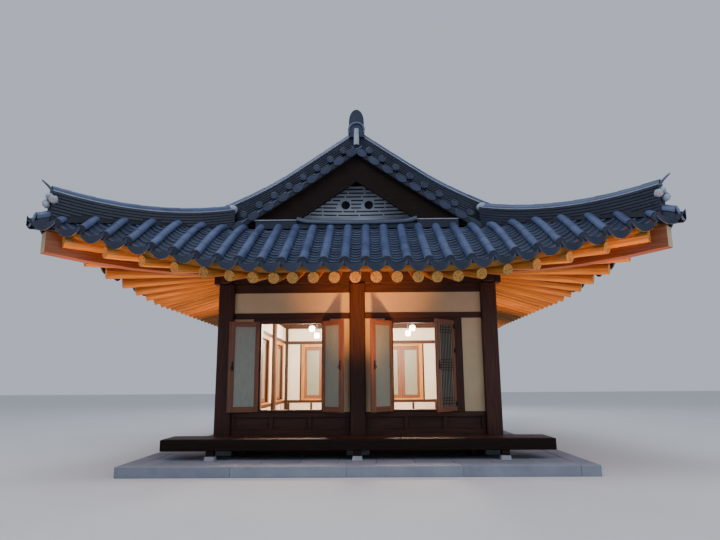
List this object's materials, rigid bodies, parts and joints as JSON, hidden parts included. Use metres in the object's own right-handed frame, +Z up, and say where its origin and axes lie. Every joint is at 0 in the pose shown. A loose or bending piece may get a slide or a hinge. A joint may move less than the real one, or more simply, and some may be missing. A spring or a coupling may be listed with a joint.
{
  "type": "hanok house",
  "caption": "Korean timber house on a stone platform, with plastered walls, casement windows, a front porch and a curved hip-and-gable roof of dark fired tiles.",
  "frame": {"origin": "centre of the plan at ground level, on the underside of the stone platform", "axes": "+Z up, -Y towards the front gable with the porch, +X to the right seen from the front"},
  "size_m": [9.66, 12.06, 6.71],
  "materials": {
    "stone": "dressed grey granite, rough",
    "stained_wood": "dark red-brown stain, satin",
    "pine": "oiled natural pine, satin",
    "plaster": "smooth cream lime plaster, matt",
    "wall_panel": "stained timber framing cream plaster panels and papered lattice windows",
    "window_leaf": "red-brown stained lattice frame backed with pale paper",
    "roof_tile": "blue-grey smoked clay, slightly glossy"
  },
  "bodies": {
    "root": {"back_bargeboards": "stained_wood", "back_eaves": "pine", "back_gable_wall": "plaster", "back_ridges": "roof_tile", "back_roof": "roof_tile", "back_wall_left": "wall_panel", "back_wall_right": "wall_panel", "column_back_centre": "stained_wood", "column_back_left": "stained_wood", "column_back_right": "stained_wood", "column_front_centre": "stained_wood", "column_front_left": "stained_wood", "column_front_right": "stained_wood", "column_mid_back_left": "stained_wood", "column_mid_back_right": "stained_wood", "column_mid_front_left": "stained_wood", "column_mid_front_right": "stained_wood", "front_bargeboards": "stained_wood", "front_eaves": "pine", "front_frame_left": "stained_wood", "front_frame_right": "stained_wood", "front_gable_wall": "plaster", "front_plaster_left": "plaster", "front_plaster_right": "plaster", "front_ridges": "roof_tile", "front_roof": "roof_tile", "hip_rafter_back_left": "pine", "hip_rafter_back_right": "pine", "hip_rafter_front_left": "pine", "hip_rafter_front_right": "pine", "left_eaves": "pine", "left_roof": "roof_tile", "left_wall_1": "wall_panel", "left_wall_2": "wall_panel", "left_wall_3": "wall_panel", "main_ridge": "roof_tile", "porch": "stained_wood", "right_eaves": "pine", "right_roof": "roof_tile", "right_wall_1": "wall_panel", "right_wall_2": "wall_panel", "right_wall_3": "wall_panel", "roof_frame": "pine", "room_floor": "pine", "stone_platform": "stone", "wall_plates": "stained_wood", "window_leaf_left_1": "window_leaf", "window_leaf_left_2": "window_leaf", "window_leaf_right_1": "window_leaf", "window_leaf_right_2": "window_leaf"}
  },
  "joints": []
}
